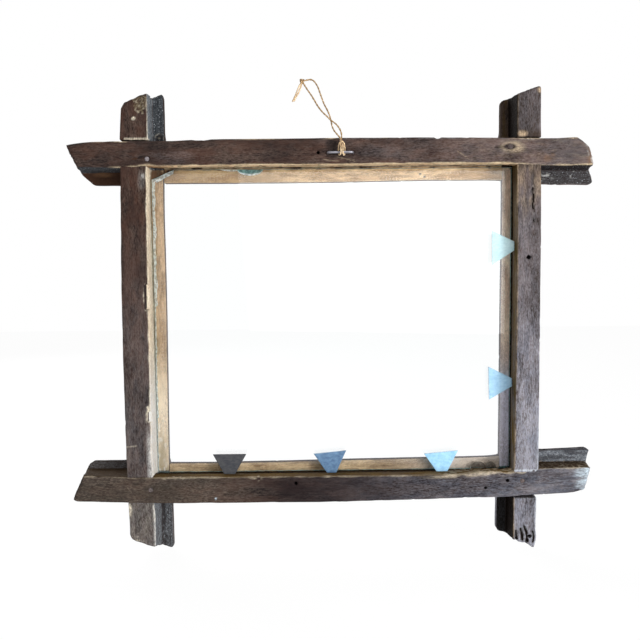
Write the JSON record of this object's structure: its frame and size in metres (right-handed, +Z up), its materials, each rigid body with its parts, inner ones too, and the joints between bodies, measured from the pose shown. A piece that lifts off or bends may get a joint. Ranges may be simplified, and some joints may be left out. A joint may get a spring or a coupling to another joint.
{
  "type": "carved wooden picture frame",
  "caption": "Rustic cross-corner picture frame with halved, horned members, stopped chamfers, a pane held by glazier's points, and a twine loop on a wire staple.",
  "frame": {"origin": "middle of the crown of the hanger staple, on the wire's axis", "axes": "the frame hangs upright: +X to the right seen from the back, +Y from the back to the show face, +Z up"},
  "size_m": [0.2547, 0.0222, 0.2236],
  "materials": {
    "wood_top_rail": "worn dark stain over open grain, raw in the rebate",
    "wood_bottom_rail": "worn dark stain, weathered grey to the right",
    "wood_left_stile": "worn dark stain, torn along the rebate",
    "wood_right_stile": "grey weathered wood, cracked at the lower end",
    "iron_nail": "dull iron, rubbed bright on the head",
    "window_glass": "clear, chipped edges",
    "zinc_pale": "bright zinc with a bluish bloom",
    "zinc_blue": "zinc, bluish grey",
    "zinc_dark": "zinc, tarnished nearly black",
    "steel_wire": "bare bright wire",
    "twine": "tan two-ply twine"
  },
  "bodies": {
    "frame": {"top_rail": "wood_top_rail", "bottom_rail": "wood_bottom_rail", "left_stile": "wood_left_stile", "right_stile": "wood_right_stile", "nail_top_left": "iron_nail", "nail_top_right": "iron_nail", "nail_bottom_left": "iron_nail", "nail_bottom_right": "iron_nail", "glass_pane": "window_glass", "point_right_upper": "zinc_pale", "point_right_lower": "zinc_blue", "point_bottom_left": "zinc_dark", "point_bottom_middle": "zinc_blue", "point_bottom_right": "zinc_blue", "hanger_staple": "steel_wire"},
    "hanging_loop": {"twine_hitch": "twine", "twine_strand_left": "twine", "twine_strand_right": "twine", "twine_knot": "twine", "twine_tails": "twine"}
  },
  "joints": [
    {"name": "loop_swing", "type": "hinge", "parent": "frame", "child": "hanging_loop", "pos_m": [0, 0, 0], "axis": [1, 0, 0], "range_deg": [0, 180]}
  ]
}
